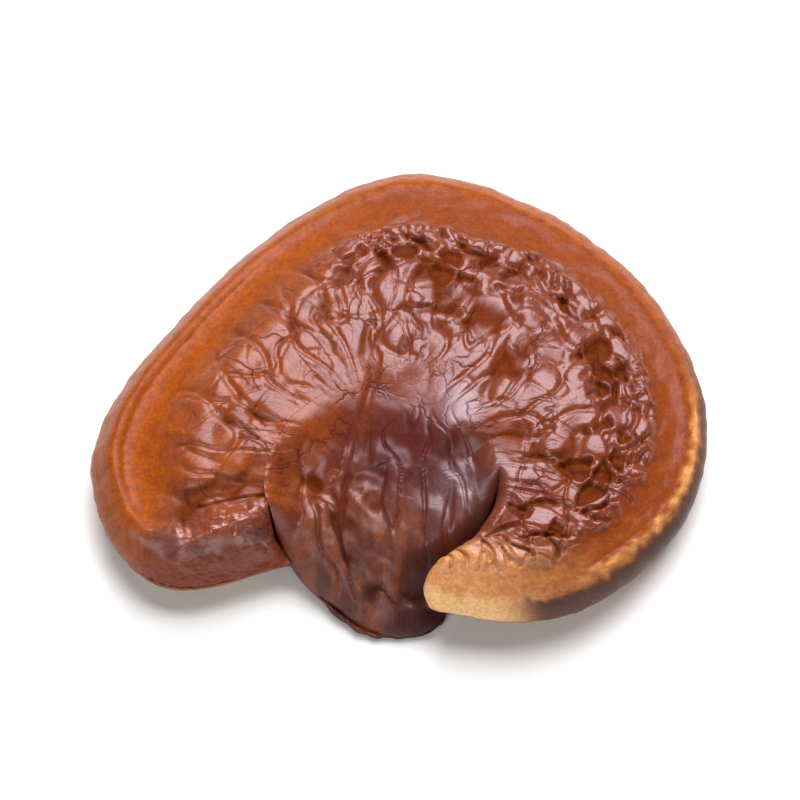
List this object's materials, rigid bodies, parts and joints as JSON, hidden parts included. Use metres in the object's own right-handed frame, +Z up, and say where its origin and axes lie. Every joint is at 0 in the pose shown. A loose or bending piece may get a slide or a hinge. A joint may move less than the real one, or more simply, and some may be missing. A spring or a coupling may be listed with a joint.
{
  "type": "reishi mushroom",
  "caption": "Dried reishi mushroom: a lacquered kidney-shaped cap with a rolled margin, grown round a short flat side stem that is cut off level at its foot.",
  "frame": {"origin": "middle of the level face where the stem was cut off, on the surface that the mushroom lies on", "axes": "+Z up, +Y level from the stem's cut towards the far rim of the cap, +X level along the cap's width, towards the lobe that curls over the stem"},
  "size_m": [0.0831, 0.0676, 0.015],
  "materials": {
    "crust": "glossy red-brown lacquer-like crust, paler at the margin, tan pore side",
    "bark": "satin dark brown skin, rough at the cut"
  },
  "bodies": {
    "root": {"cap": "crust", "stem": "bark"}
  },
  "joints": []
}
